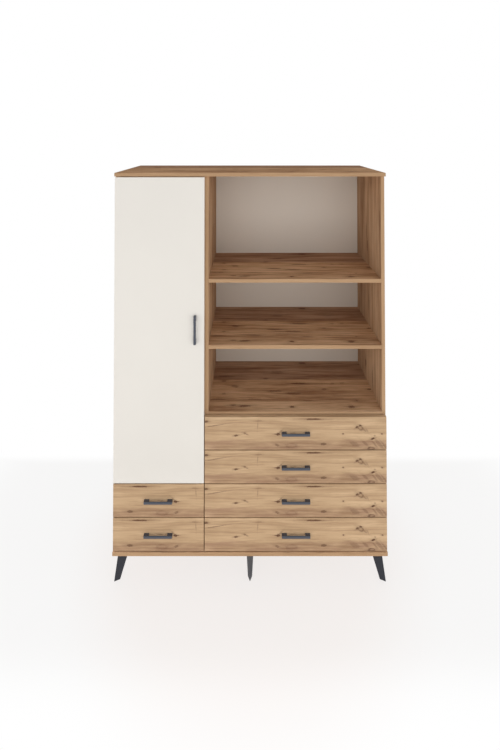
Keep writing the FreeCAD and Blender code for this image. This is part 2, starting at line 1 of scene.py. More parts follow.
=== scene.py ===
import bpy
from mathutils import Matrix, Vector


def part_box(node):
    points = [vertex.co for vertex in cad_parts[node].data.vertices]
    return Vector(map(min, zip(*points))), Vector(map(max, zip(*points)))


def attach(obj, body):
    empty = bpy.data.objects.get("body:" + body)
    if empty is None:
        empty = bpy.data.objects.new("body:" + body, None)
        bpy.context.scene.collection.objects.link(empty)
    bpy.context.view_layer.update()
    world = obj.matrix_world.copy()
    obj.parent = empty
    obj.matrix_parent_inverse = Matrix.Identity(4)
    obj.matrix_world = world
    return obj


bl_info = {
    "name": "Chifforobe",
    "version": (1, 0, 0),
    "blender": (4, 5, 0),
    "location": "View3D > Sidebar > Chifforobe",
    "description": "Finishes, fittings and studio for a free-standing chifforobe",
    "category": "Object",
}

import math
from typing import NamedTuple

import bmesh
import bpy
from bpy.props import FloatProperty, FloatVectorProperty, PointerProperty
from mathutils import Matrix, Vector

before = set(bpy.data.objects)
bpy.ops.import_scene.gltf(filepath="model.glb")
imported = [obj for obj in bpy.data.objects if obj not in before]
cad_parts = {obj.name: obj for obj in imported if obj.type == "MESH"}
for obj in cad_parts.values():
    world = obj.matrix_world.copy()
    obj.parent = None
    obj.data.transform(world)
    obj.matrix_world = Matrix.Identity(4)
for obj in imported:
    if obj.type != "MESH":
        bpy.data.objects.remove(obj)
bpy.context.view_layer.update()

RIGHT_DRAWERS = [f"right_drawer_{number}" for number in range(1, 5)]
LEFT_DRAWERS = [f"left_drawer_{number}" for number in range(1, 3)]
DRAWERS = RIGHT_DRAWERS + LEFT_DRAWERS
LEVEL_BOARDS = ("base_panel", "right_deck", "lower_shelf", "upper_shelf", "left_deck", "hat_shelf")
UPRIGHT_BOARDS = ("left_side_panel", "right_side_panel", "wardrobe_upright", "shelf_upright")

# Each leg with the turn of its ridge from straight ahead, in degrees
LEGS = {
    "front_left_leg": -45, "front_centre_leg": 0, "front_right_leg": 45,
    "rear_left_leg": -135, "rear_centre_leg": 180, "rear_right_leg": 135,
}

# Directions in the frame, whose front is towards -Y
FORWARD = (0, -1, 0)
REARWARD = (0, 1, 0)
RIGHTWARD = (1, 0, 0)
UPWARD = (0, 0, 1)
DOWNWARD = (0, 0, -1)

WHITE = (1, 1, 1, 1)


def tint(red, green, blue):
    """A colour as the eye reads it, 0 to 255, turned into the linear values that shaders take."""
    shares = [channel / 255 for channel in (red, green, blue)]
    return tuple(s / 12.92 if s <= 0.04045 else ((s + 0.055) / 1.055) ** 2.4 for s in shares)


def swatch(name, description, red, green, blue):
    """A colour setting whose default is written as the eye reads it."""
    return FloatVectorProperty(
        name=name, description=description, default=tint(red, green, blue), subtype="COLOR", min=0, max=1,
    )


def amount(name, description, default, unit="NONE"):
    """A setting that is never below zero."""
    return FloatProperty(name=name, description=description, default=default, min=0, unit=unit)


def length(name, description, default):
    """A length setting in metres."""
    return amount(name, description, default, unit="LENGTH")


def fraction(name, description, default):
    """A setting between none and all."""
    return FloatProperty(name=name, description=description, default=default, min=0, max=1, subtype="FACTOR")


class WoodSettings(bpy.types.PropertyGroup):
    """Colours of the oak print."""

    front_light: swatch("Front light", "Pale early wood on the drawer fronts", 210, 179, 143)
    front_mid: swatch("Front middle", "Main tone of the drawer fronts", 189, 158, 124)
    front_dark: swatch("Front dark", "Darker streaks on the drawer fronts", 162, 131, 100)
    front_line: swatch("Front line", "Thin dark lines on the drawer fronts", 132, 99, 71)
    front_band: swatch("Front band", "Tint of the greyer wood along the lower edge", 222, 213, 216)
    board_light: swatch("Board light", "Pale streaks on carcass boards", 226, 191, 154)
    board_mid: swatch("Board middle", "Main tone of the carcass boards", 206, 169, 133)
    board_dark: swatch("Board dark", "Darker streaks on carcass boards", 166, 127, 95)
    board_line: swatch("Board line", "Thin dark lines on carcass boards", 102, 69, 52)
    # Rear plank tints: partly the planks' own darker tone, partly painted shade deep in the compartments
    level_front: swatch("Level front", "Tint of the front plank on level boards", 255, 254, 254)
    level_rear_tint_and_shade: swatch("Level rear", "Tint of the rear plank on level boards", 217, 212, 219)
    # Top board tints: painted shade on the up-facing top, a darker copy of the level boards' print
    top_front_shade: swatch("Top front", "Tint of the front plank on the top board", 254, 245, 238)
    top_rear_tint_and_shade: swatch("Top rear", "Tint of the rear plank on the top board", 216, 205, 205)
    # Upright tints: painted shade on the faces of the upright boards
    upright_front_shade: swatch("Upright front", "Tint of the front plank on uprights", 229, 228, 229)
    upright_rear_tint_and_shade: swatch("Upright rear", "Tint of the rear plank on uprights", 219, 217, 219)
    # Edge tint: partly the banding's own tone, partly painted shade on the edges against the faces
    board_edge_band_and_shade: swatch("Board edge", "Tint of the banded edges", 226, 225, 222)
    knot: swatch("Knot", "Heart of knots and cracks", 74, 38, 27)


class PaintSettings(bpy.types.PropertyGroup):
    """Colours of the laminates, linings and metals."""

    door: swatch("Door", "Off-white laminate of the door", 231, 227, 220)
    lining: swatch("Lining", "Off-white face of the back and drawer boards", 225, 218, 207)
    hardboard: swatch("Hardboard", "Raw rear face of the back panel", 148, 108, 74)
    runner: swatch("Runner", "Waxed hardwood runners", 190, 150, 104)
    handle: swatch("Handle", "Satin anthracite of the handles", 56, 62, 75)
    leg: swatch("Leg", "Charcoal powder coat of the legs", 39, 41, 49)
    nickel: swatch("Nickel", "Plating of hinges, pins and screws", 200, 198, 194)
    chrome: swatch("Chrome", "Plating of the rail and its sockets", 224, 225, 227)
    buffer: swatch("Buffer", "Clear rubber door buffers", 214, 212, 205)


class FittingSettings(bpy.types.PropertyGroup):
    """Sizes of the small fittings."""

    screw_radius: length("Screw radius", "Radius of a screw head", 0.0036)
    screw_height: length("Screw height", "Height of a screw head", 0.0018)
    handle_screw_reach: length("Handle screw reach", "From a handle's middle to its screws", 0.051)
    cup_screw_reach: length("Cup screw reach", "From a cup's middle to its screws", 0.0245)
    block_length: length("Block length", "Length of a hinge block", 0.042)
    block_width: length("Block width", "Width of a hinge block", 0.020)
    block_screw_inset: length("Block screw inset", "From a hinge block's ends to its screws", 0.010)
    leg_splay: length("Leg splay", "How far a leg's ridge runs in between floor and plate", 0.020)
    leg_plate_depth: length("Leg plate depth", "Depth of a leg's screw plate", 0.045)
    leg_plate_width: length("Leg plate width", "Width of a leg's screw plate", 0.0388)
    leg_plate_thickness: length("Leg plate thickness", "Thickness of the screw plate", 0.003)
    buffer_radius: length("Buffer radius", "Radius of a door buffer", 0.004)
    buffer_height: length("Buffer height", "Height of a door buffer", 0.0018)
    buffer_inset: length("Buffer inset", "From the door's ends to its buffers", 0.070)


class StageSettings(bpy.types.PropertyGroup):
    """Camera, light and floor."""

    lens: amount("Lens", "Focal length in millimetres", 20.324, unit="CAMERA")
    camera_back: length("Camera back", "From the front of the top board to the camera", 1.874)
    camera_height: length("Camera height", "Height of the camera over the floor", 1.950)
    camera_pitch: FloatProperty(
        name="Camera pitch", description="How far the camera looks up",
        default=math.radians(0.972), subtype="ANGLE",
    )
    camera_shift: FloatProperty(
        name="Camera shift", description="Lens shift of the photograph", default=-0.3301,
    )
    ambient: amount("Ambient", "Strength of the light from all round", 0.36)
    panel_power: amount("Panel power", "Power of each light panel", 64, unit="POWER")
    panel_back: length("Panel back", "From the middle of the floor to each light panel", 3.2)
    panel_width: length("Panel width", "Width of a light panel", 8.0)
    panel_height: length("Panel height", "Height of a light panel", 3.4)
    floor_light_power: amount("Floor light power", "Power of the floor's own panel", 22, unit="POWER")
    floor_light_back: length("Floor light back", "From the middle of the floor to that panel", 2.0)
    floor_light_width: length("Floor light width", "Width of that panel", 5.0)
    floor_light_depth: length("Floor light depth", "Depth of that panel", 2.4)
    floor_light_height: length("Floor light height", "Height of that panel over the floor", 0.5)
    floor: swatch("Floor", "Pale studio floor", 244, 242, 240)
    # Painted bounce light: the warm white that the floor glows with near the chifforobe
    floor_painted_bounce: swatch("Floor near", "Warm white of the floor round the chifforobe", 252, 248, 246)
    floor_painted_bounce_start: length("Floor warm", "Where that warm white starts to fade", 0.50)
    floor_painted_bounce_end: length("Floor warm end", "Where that warm white has faded", 0.90)
    floor_rear: length("Floor rear", "Where the floor behind starts to turn white", 0.42)
    floor_rear_end: length("Floor rear end", "Where the floor behind is white", 0.54)
    floor_front: length("Floor front", "Where the floor in front starts to turn white", 0.37)
    floor_front_end: length("Floor front end", "Where the floor in front is white", 0.70)
    floor_round: length("Floor round", "Where the floor all round starts to turn white", 1.2)
    floor_round_end: length("Floor round end", "Where the floor all round is white", 1.9)
    floor_shade: fraction("Floor shade", "Share of the shadow that the camera sees", 0.17)
    floor_white: fraction("Floor white", "Brightness of the floor in the open", 0.982)
    floor_radius: length("Floor radius", "Radius of the floor", 14)
    floor_drop: length("Floor drop", "How far the floor lies below the feet", 0.0005)


class ChifforobeSettings(bpy.types.PropertyGroup):
    """All settings of the chifforobe."""

    wood: PointerProperty(type=WoodSettings)
    paint: PointerProperty(type=PaintSettings)
    fitting: PointerProperty(type=FittingSettings)
    stage: PointerProperty(type=StageSettings)


def settings():
    """The scene's settings."""
    return bpy.context.scene.chifforobe


def opaque(colour):
    """A colour setting with full alpha, as node sockets take it."""
    return (*colour, 1)


# Most values of a noise lie between these
NOISE_SPAN = (0.3, 0.7)


class Look:
    """The node tree of one finish, with short calls for the nodes that it is made of."""

    def __init__(self, name):
        self.material = bpy.data.materials.new(name)
        self.material.use_nodes = True
        self.tree = self.material.node_tree
        self.shader = self.tree.nodes["Principled BSDF"]
        self.place = self.add("ShaderNodeTexCoord").outputs["Object"]

    def add(self, kind, **options):
        """A new node with some of its options set."""
        node = self.tree.nodes.new(kind)
        for option, value in options.items():
            setattr(node, option, value)
        return node

    def feed(self, socket, value):
        """Links an output to a socket, or sets the socket's own value."""
        if isinstance(value, bpy.types.NodeSocket):
            self.tree.links.new(value, socket)
        else:
            socket.default_value = value

    def math(self, operation, *values):
        """One arithmetic step."""
        node = self.add("ShaderNodeMath", operation=operation)
        for socket, value in zip(node.inputs, values):
            self.feed(socket, value)
        return node.outputs[0]

    def total(self, base, *parts):
        """A base number plus (value, weight) parts, each value times its weight."""
        for value, weight in parts:
            base = self.math("MULTIPLY_ADD", value, weight, base)
        return base

    def vector(self, operation, first, second=(0, 0, 0)):
        """One step with vectors."""
        node = self.add("ShaderNodeVectorMath", operation=operation)
        self.feed(node.inputs[0], first)
        self.feed(node.inputs[1], second)
        return node.outputs["Value" if operation in ("LENGTH", "DOT_PRODUCT") else "Vector"]

    def flattened(self, place):
        """A place without its third part."""
        return self.vector("MULTIPLY", place, (1, 1, 0))

    def split(self, value):
        """The three parts of a vector."""
        node = self.add("ShaderNodeSeparateXYZ")
        self.feed(node.inputs[0], value)
        return node.outputs[0], node.outputs[1], node.outputs[2]

    def join(self, x, y, z):
        """A vector from its three parts."""
        node = self.add("ShaderNodeCombineXYZ")
        for socket, value in zip(node.inputs, (x, y, z)):
            self.feed(socket, value)
        return node.outputs[0]

    def ease(self, value, low, high, bottom=0.0, top=1.0):
        """A smooth step of a value from bottom at low to top at high."""
        node = self.add("ShaderNodeMapRange", interpolation_type="SMOOTHSTEP")
        for socket, number in zip(node.inputs, (value, low, high, bottom, top)):
            self.feed(socket, number)
        return node.outputs[0]

    def noise(self, place, waves, detail=2.0, roughness=0.5):
        """Soft noise between 0 and 1, by its waves per metre along each axis of a place."""
        node = self.add("ShaderNodeTexNoise")
        self.feed(node.inputs["Vector"], self.vector("MULTIPLY", place, waves))
        node.inputs["Scale"].default_value = 1
        node.inputs["Detail"].default_value = detail
        node.inputs["Roughness"].default_value = roughness
        return node.outputs["Fac"]

    def even_noise(self, waves, detail=2.0, roughness=0.5):
        """Noise with the same waves along all axes of the object."""
        return self.noise(self.place, (waves, waves, waves), detail, roughness)

    def uneven(self, noise, low, high):
        """A number that a noise moves between two ends."""
        return self.ease(noise, *NOISE_SPAN, low, high)

    def mix(self, share, first, second, blend="MIX"):
        """Two colours mixed by a share."""
        node = self.add("ShaderNodeMix", data_type="RGBA", blend_type=blend)
        self.feed(node.inputs[0], share)
        self.feed(node.inputs[6], first)
        self.feed(node.inputs[7], second)
        return node.outputs[2]

    def multiplied(self, first, second, share=1.0):
        """A colour times another one, in full or by a share."""
        return self.mix(share, first, second, blend="MULTIPLY")

    def shaded(self, colour, shade):
        """A colour times a number."""
        return self.multiplied(colour, self.join(shade, shade, shade))

    def ramp(self, share, stops):
        """A colour read from a ramp of (position, colour) stops."""
        node = self.add("ShaderNodeValToRGB")
        elements = node.color_ramp.elements
        while len(elements) < len(stops):
            elements.new(1)
        for element, (position, colour) in zip(elements, stops):
            element.position = position
            element.color = colour
        self.feed(node.inputs[0], share)
        return node.outputs["Color"]

    def true_normal(self):
        """The direction that the surface faces, without its relief."""
        return self.add("ShaderNodeNewGeometry").outputs["True Normal"]

    def bump(self, height, depth, strength):
        """Gives the surface a relief of that depth in metres."""
        node = self.add("ShaderNodeBump")
        node.inputs["Strength"].default_value = strength
        node.inputs["Distance"].default_value = depth
        self.feed(node.inputs["Height"], height)
        self.feed(self.shader.inputs["Normal"], node.outputs["Normal"])

    def finish(self, colour, roughness, specular=0.5, metallic=0.0):
        """Sets the main inputs of the shader."""
        self.feed(self.shader.inputs["Base Color"], colour)
        self.feed(self.shader.inputs["Roughness"], roughness)
        self.shader.inputs["Specular IOR Level"].default_value = specular
        self.shader.inputs["Metallic"].default_value = metallic
        return self.material


class Mark(NamedTuple):
    """A knot, crack or streak in the wood print, with its middle and half sizes in metres.

    Depth is how dark the mark is, turn its angle to the grain in degrees, and halo the share of its depth
    in the stain round it. Hollow leaves only a ring, at that share of its size.
    """

    along: float
    across: float
    half_length: float
    half_width: float
    depth: float
    turn: float = 0.0
    hollow: float = 0.0
    halo: float = 0.35


class Zone(NamedTuple):
    """A paler or darker zone, with its middle and half sizes in metres; most are print, a few painted light.

    Lift is how far it moves the tone towards the pale end.
    """

    along: float
    across: float
    half_length: float
    half_width: float
    lift: float


class Pattern(NamedTuple):
    """A wood print: its marks and zones, how dark its thin lines are and how far its tones spread."""

    marks: tuple
    contrast: float
    spread: float
    zones: tuple = ()


class Tones(NamedTuple):
    """The tones of a wood print, as node colours."""

    light: tuple
    mid: tuple
    dark: tuple
    line: tuple
    knot: tuple


# Marks of the drawer fronts' print, from the front's left end and its lower edge
FRONT_MARKS = (
    Mark(0.004, 0.124, 0.011, 0.0052, 0.9),
    Mark(0.045, 0.107, 0.046, 0.0022, 0.55, turn=9),
    Mark(0.238, 0.127, 0.016, 0.003, 0.45),
    Mark(0.232, 0.108, 0.016, 0.0025, 0.3, turn=86),
    Mark(0.478, 0.1345, 0.044, 0.0042, 0.85),
    Mark(0.137, 0.0635, 0.009, 0.0048, 0.8, turn=8),
    Mark(0.175, 0.0735, 0.007, 0.004, 0.65, turn=-14),
    Mark(0.185, 0.069, 0.006, 0.003, 0.45, turn=-30),
    Mark(0.606, 0.0715, 0.005, 0.0044, 0.75, halo=0.2),
    Mark(0.776, 0.071, 0.0052, 0.0044, 0.65, halo=0.2),
    Mark(0.736, 0.0503, 0.0092, 0.0056, 0.95, turn=18),
    Mark(0.744, 0.0625, 0.0046, 0.004, 0.5, halo=0.2),
    Mark(0.321, 0.0697, 0.009, 0.0062, 1.0, halo=0.22),
    Mark(0.31, 0.0697, 0.009, 0.0028, 0.6),
    Mark(0.331, 0.08, 0.012, 0.0036, 0.4, turn=42),
    Mark(0.386, 0.0742, 0.017, 0.003, 0.4, halo=0.1),
    Mark(0.519, 0.027, 0.016, 0.0056, 0.65),
    Mark(0.317, 0.023, 0.011, 0.006, 0.5, turn=-20),
    Mark(0.38, 0.02, 0.026, 0.01, 0.25, hollow=0.8),
    Mark(0.682, 0.096, 0.016, 0.011, 0.6, turn=-32, hollow=0.62),
    Mark(0.6665, 0.1004, 0.0078, 0.0052, 0.9, turn=35),
    Mark(0.681, 0.1075, 0.0072, 0.0042, 0.9, turn=-8),
    Mark(0.7, 0.086, 0.015, 0.0036, 0.4, turn=-36),
    Mark(0.712, 0.085, 0.01, 0.003, 0.3, turn=-62),
    Mark(0.7295, 0.0085, 0.017, 0.0065, 0.75, hollow=0.75),
    Mark(0.655, 0.0277, 0.026, 0.01, 0.3, turn=-25),
    Mark(0.702, 0.03, 0.018, 0.006, 0.3, turn=-40),
    Mark(0.745, 0.026, 0.02, 0.0045, 0.32, turn=-50),
    Mark(0.765, 0.026, 0.028, 0.008, 0.34, turn=-48),
    Mark(0.786, 0.021, 0.022, 0.005, 0.36, turn=-50),
)

# Zones of the same print, among them two zones of painted light
FRONT_ZONES = (
    Zone(0.65, 0.064, 0.24, 0.014, 0.27),
    # Painted highlight: a paler band along the top edge, left of the handle
    Zone(0.16, 0.139, 0.16, 0.01, 0.22),
    Zone(0.23, 0.119, 0.21, 0.011, -0.19),
    Zone(0.43, 0.095, 0.15, 0.014, -0.2),
    Zone(0, 0.012, 0.08, 0.022, 0.26),
    Zone(0.625, 0.019, 0.06, 0.014, -0.24),
    Zone(0.4, 0.036, 0.18, 0.01, -0.18),
    Zone(0.79, 0.034, 0.06, 0.022, 0.18),
    Zone(0.71, 0.121, 0.06, 0.014, 0.18),
    # Painted light: a paler patch between the handle's feet that lifts the shade the bar casts there
    Zone(0.425, 0.074, 0.07, 0.01, 0.3),
    Zone(0.175, 0.091, 0.07, 0.014, 0.15),
    Zone(0, 0.092, 0.07, 0.022, -0.13),
)

# Marks of the level boards' print, from the left end of the shelves and the front edge
LEVEL_MARKS = (
    Mark(0.374, 0.034, 0.012, 0.0075, 0.85),
    Mark(0.642, 0.034, 0.017, 0.011, 0.7),
    Mark(0.159, 0.041, 0.03, 0.0085, 0.7, turn=4),
    Mark(0.108, 0.046, 0.017, 0.006, 0.65),
    Mark(0.676, 0.08, 0.007, 0.006, 0.4),
    Mark(0.449, 0.08, 0.03, 0.007, 0.4),
    Mark(0.205, 0.089, 0.04, 0.006, 0.45),
    Mark(0.035, 0.089, 0.04, 0.0065, 0.5),
    Mark(0.06, 0.131, 0.012, 0.007, 0.45),
    Mark(0.387, 0.133, 0.044, 0.0085, 0.6, turn=-3),
    Mark(0.301, 0.152, 0.038, 0.0065, 0.7),
    Mark(0.541, 0.166, 0.012, 0.008, 0.45),
    Mark(0.758, 0.166, 0.011, 0.0065, 0.7),
    Mark(0.111, 0.19, 0.021, 0.012, 0.5, turn=-16),
    Mark(0.427, 0.214, 0.046, 0.0075, 0.7),
    Mark(0.638, 0.216, 0.014, 0.0075, 0.35),
    Mark(0.59, 0.214, 0.01, 0.0065, 0.4),
    Mark(0.054, 0.234, 0.013, 0.0085, 0.5),
    Mark(0.263, 0.255, 0.015, 0.008, 0.55),
    Mark(0.063, 0.275, 0.05, 0.006, 0.5),
    Mark(0.323, 0.312, 0.036, 0.014, 0.4),
    Mark(0.464, 0.398, 0.024, 0.011, 0.6),
    Mark(-0.15, 0.12, 0.04, 0.008, 0.7),
    Mark(-0.29, 0.28, 0.02, 0.012, 0.7),
)

# Marks of the upright boards' print, from the floor and the front edge
UPRIGHT_MARKS = (
    Mark(1.471, 0.239, 0.045, 0.006, 0.6),
    Mark(1.396, 0.22, 0.04, 0.0065, 0.7),
    Mark(1.566, 0.016, 0.05, 0.005, 0.6),
    Mark(1.735, 0.15, 0.04, 0.005, 0.5),
    Mark(1.11, 0.196, 0.07, 0.005, 0.6),
    Mark(1.205, 0.33, 0.06, 0.006, 0.4),
    Mark(0.98, 0.07, 0.07, 0.004, 0.4),
    Mark(0.83, 0.105, 0.075, 0.003, 0.7),
    Mark(0.788, 0.147, 0.055, 0.0048, 0.8, halo=0.2),
    Mark(0.8, 0.26, 0.022, 0.011, 0.6),
    Mark(0.56, 0.3, 0.04, 0.0045, 0.5),
    Mark(0.42, 0.11, 0.02, 0.012, 0.6),
    Mark(0.25, 0.22, 0.05, 0.0045, 0.45),
)

FRONT_PATTERN = Pattern(FRONT_MARKS, contrast=0.40, spread=0.85, zones=FRONT_ZONES)
LEVEL_PATTERN = Pattern(LEVEL_MARKS, contrast=0.65, spread=1.25)
UPRIGHT_PATTERN = Pattern(UPRIGHT_MARKS, contrast=0.5, spread=0.85)

# Noise that frays a mark's outline, in waves per metre, and how far it moves the outline in half sizes
FRAY_WAVES = (150, 380, 120)
FRAY_REACH = 0.8

# Noise that breaks up the marks, the values over which it does so, and the least that it leaves
BREAK_WAVES = (55, 330, 90)
BREAK_SPAN = (0.30, 0.52)
BREAK_LEAST = 0.6

# Where the parts of a mark, its push on the grain and a zone start and are full, in half sizes
CORE_EDGE = (1.2, 0.6)
RING_EDGE = (0.45, 0.08)
HALO_EDGE = (1.1, 0.3)
PUSH_EDGE = (3.2, 0.4)
ZONE_EDGE = (1.2, 0.3)

# How the soft halo round a mark is drawn out along the grain, and how much of the fraying it takes
HALO_SHAPE = (0.36, 0.75, 0)
HALO_FRAY = 0.6

# Share of its half width by which a mark pushes the grain aside
PUSH_SHARE = 0.5

# Noise of the grain, in waves per metre along, across and through the wood
SWAY_WAVES = (2.4, 7, 7)
BROAD_WAVES = (1.9, 17, 17)
STREAK_WAVES = (3.4, 56, 56)
FIBRE_WAVES = (16, 520, 520)
LINE_WAVES = (4.0, 210, 210)
PORE_WAVES = (30, 1100, 1100)

# How far the grain sways, in metres
SWAY_REACH = 0.020

# How much each noise counts in the tone, and the tone where all of them are even
BROAD_SHARE = 0.75
STREAK_SHARE = 1.35
FIBRE_SHARE = 0.35
EVEN_TONE = 0.495

# The tones at which the dark, middle and light colours stand
DARK_TONE = 0.20
MID_TONE = 0.48
LIGHT_TONE = 0.76

# The noise values over which thin lines and pores come in, and how dark a pore is
LINE_SPAN = (0.54, 0.70)
PORE_SPAN = (0.66, 0.78)
PORE_DEPTH = 0.35

# How far the fronts' picture is printed below its marks' heights
PRINT_DROP = 0.0025

# Which part of the noise the fronts' grain is cut from
PRINT_SEED = 1.11

# From the left end of a left front to where the picture that it mirrors starts
MIRROR_REACH = 0.594

# The greyer band along a front's lower edge: how it sways, and the heights over which it comes in
BAND_WAVES = (9, 12, 1)
BAND_SWAY = 0.030
BAND_EDGE = (0.064, 0.050)

# The patches of that band: their noise, the values over which they come in, and the least of the band
PATCH_WAVES = (9, 45, 1)
PATCH_SPAN = (0.38, 0.68)
PATCH_LEAST = 0.45

# The boards' print joins a darker rear plank, partly painted shade, at this distance from the front edge
PLANK_SEAM = 0.250

# How that seam sways, and half the width of its blur
SEAM_WAVES = (14, 3, 3)
SEAM_SWAY = 0.006
SEAM_BLUR = 0.002

# Share of the grain that shows on the banded edges
EDGE_GRAIN = 0.3

# How squarely a surface turns to a side before it counts as a board's face, or as hardboard's lined side
BOARD_FACE = (0.5, 0.8)
LINED_FACE = (0.3, 0.7)


def measured_from(look, place, spot, turn=0.0):
    """The place as seen from the middle of a mark or zone, in its half sizes."""
    centred = look.add("ShaderNodeMapping", vector_type="TEXTURE")
    look.feed(centred.inputs["Vector"], place)
    centred.inputs["Location"].default_value = (spot.along, spot.across, 0)
    centred.inputs["Rotation"].default_value = (0, 0, math.radians(turn))
    centred.inputs["Scale"].default_value = (spot.half_length, spot.half_width, 1)
    return look.flattened(centred.outputs[0])


def draw_marks(look, place, marks):
    """How dark the marks make each point, and how far they push the grain aside."""
    rough = look.noise(place, FRAY_WAVES, detail=3, roughness=0.65)
    fray = look.total(-FRAY_REACH, (rough, 2 * FRAY_REACH))
    breaks = look.noise(place, BREAK_WAVES, detail=3, roughness=0.6)
    kept = look.ease(breaks, *BREAK_SPAN, BREAK_LEAST, 1)
    darkness, push = 0.0, 0.0
    for mark in marks:
        flat = measured_from(look, place, mark, mark.turn)
        far = look.math("ADD", look.vector("LENGTH", flat), fray)
        if mark.hollow:
            ring = look.math("ABSOLUTE", look.math("SUBTRACT", far, mark.hollow))
            core = look.ease(ring, *RING_EDGE, 0, mark.depth)
        else:
            core = look.ease(far, *CORE_EDGE, 0, mark.depth)
            aside = look.ease(far, *PUSH_EDGE, 0, mark.half_width * PUSH_SHARE)
            push = look.math("ADD", aside, push)
        drawn_out = look.vector("LENGTH", look.vector("MULTIPLY", flat, HALO_SHAPE))
        frayed = look.total(drawn_out, (fray, HALO_FRAY))
        halo = look.ease(frayed, *HALO_EDGE, 0, mark.depth * mark.halo)
        darkness = look.math("MAXIMUM", look.math("MAXIMUM", core, halo), darkness)
    return look.math("MULTIPLY", darkness, kept), push


def wood_colour(look, place, tones, pattern):
    """The colour of an oak print with its grain along a place's first axis, and a height for its relief."""
    darkness, push = draw_marks(look, place, pattern.marks)
    along, across, through = look.split(place)
    bent = look.join(along, look.math("ADD", across, push), through)
    sway = look.math("MULTIPLY", look.noise(bent, SWAY_WAVES), SWAY_REACH)
    wavy = look.vector("ADD", bent, look.join(0, sway, 0))
    broad = look.noise(wavy, BROAD_WAVES)
    streaks = look.noise(wavy, STREAK_WAVES, detail=5, roughness=0.7)
    fibres = look.noise(wavy, FIBRE_WAVES)
    even = (BROAD_SHARE + STREAK_SHARE + FIBRE_SHARE) / 2
    grain = look.total(-even, (streaks, STREAK_SHARE), (broad, BROAD_SHARE), (fibres, FIBRE_SHARE))
    tone = look.total(EVEN_TONE, (grain, pattern.spread))
    for zone in pattern.zones:
        far = look.vector("LENGTH", measured_from(look, place, zone))
        tone = look.math("ADD", look.ease(far, *ZONE_EDGE, 0, zone.lift), tone)
    colour = look.ramp(tone, ((DARK_TONE, tones.dark), (MID_TONE, tones.mid), (LIGHT_TONE, tones.light)))
    lines = look.noise(wavy, LINE_WAVES, detail=3, roughness=0.6)
    colour = look.mix(look.ease(lines, *LINE_SPAN, 0, pattern.contrast), colour, tones.line)
    pores = look.ease(look.noise(wavy, PORE_WAVES, detail=1), *PORE_SPAN, 0, PORE_DEPTH)
    colour = look.mix(pores, colour, tones.dark)
    return look.mix(darkness, colour, tones.knot), look.math("SUBTRACT", fibres, pores)


def wood_finish(look, colour, relief, roughness, specular):
    """The matt or satin lacquer of the wood print."""
    clouds = look.even_noise(waves=9, detail=3)
    gloss = look.uneven(clouds, roughness - 0.06, roughness + 0.06)
    look.bump(relief, depth=0.0002, strength=0.5)
    return look.finish(colour, gloss, specular=specular)


def wood_tones(*colours):
    """Colour settings as the tones of a wood print."""
    return Tones(*(opaque(colour) for colour in colours))


def front_wood(name, stack, mirrored=False):
    """Oak print of one stack of drawer fronts: all carry the same picture, which is mirrored on the left."""
    wood = settings().wood
    look = Look(name)
    low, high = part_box(f"{stack[-1]}_front")
    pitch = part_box(f"{stack[-2]}_front")[0].z - low.z
    gap = pitch - (high.z - low.z)
    x, y, z = look.split(look.place)
    if mirrored:
        along = look.math("SUBTRACT", low.x + MIRROR_REACH, x)
    else:
        along = look.math("SUBTRACT", x, low.x)
    wrapped = look.math("MODULO", look.math("SUBTRACT", z, low.z - gap / 2), pitch)
    up = look.math("SUBTRACT", wrapped, gap / 2 - PRINT_DROP)
    place = look.join(along, up, look.math("ADD", y, PRINT_SEED))
    tones = wood_tones(wood.front_light, wood.front_mid, wood.front_dark, wood.front_line, wood.knot)
    colour, relief = wood_colour(look, place, tones, FRONT_PATTERN)
    edge = look.total(up, (look.noise(place, BAND_WAVES, detail=3), BAND_SWAY))
    patches = look.noise(place, PATCH_WAVES, detail=4, roughness=0.6)
    patch = look.ease(patches, *PATCH_SPAN, PATCH_LEAST, 1)
    band = look.math("MULTIPLY", look.ease(edge, *BAND_EDGE), patch)
    colour = look.multiplied(colour, opaque(wood.front_band), band)
    return wood_finish(look, colour, relief, roughness=0.56, specular=0.12)


def board_wood(name, order, origin, pattern, front_plank_and_shade, rear_plank_and_shade):
    """Oak print of the carcass boards, with the object's axes put in the given order from an origin.

    The last axis of the order runs through the boards, whose edges are banded in a plainer tone, partly
    painted shade.
    """
    wood = settings().wood
    look = Look(name)
    parts = look.split(look.vector("SUBTRACT", look.place, origin))
    place = look.join(*(parts["xyz".index(axis)] for axis in order))
    tones = wood_tones(wood.board_light, wood.board_mid, wood.board_dark, wood.board_line, wood.knot)
    colour, relief = wood_colour(look, place, tones, pattern)
    from_front = look.split(place)[1]
    seam = look.total(from_front, (look.noise(place, SEAM_WAVES, detail=3), SEAM_SWAY))
    rear = look.ease(seam, PLANK_SEAM - SEAM_BLUR, PLANK_SEAM + SEAM_BLUR)
    # The plank tints are partly the planks' own tones and partly painted shade
    face = look.multiplied(colour, look.mix(rear, opaque(front_plank_and_shade), opaque(rear_plank_and_shade)))
    # Edges against faces, by the way they face: the banding's tone and painted shade
    edge = look.multiplied(look.mix(EDGE_GRAIN, tones.mid, colour), opaque(wood.board_edge_band_and_shade))
    normal = look.split(look.true_normal())
    flatness = look.math("ABSOLUTE", normal["xyz".index(order[-1])])
    colour = look.mix(look.ease(flatness, *BOARD_FACE), edge, face)
    return wood_finish(look, colour, relief, roughness=0.85, specular=0.01)


def laminate(name, colour, roughness, grain):
    """A plain laminate: faint clouds, a fine pressed texture and a soft sheen."""
    look = Look(name)
    clouds = look.even_noise(waves=3, detail=3)
    speckle = look.even_noise(waves=grain, detail=1)
    shade = look.total(0.96, (speckle, 0.03), (clouds, 0.05))
    sheen = look.uneven(clouds, roughness - 0.04, roughness + 0.04)
    look.bump(speckle, depth=0.0001, strength=0.4)
    return look.finish(look.shaded(opaque(colour), shade), sheen, specular=0.35)


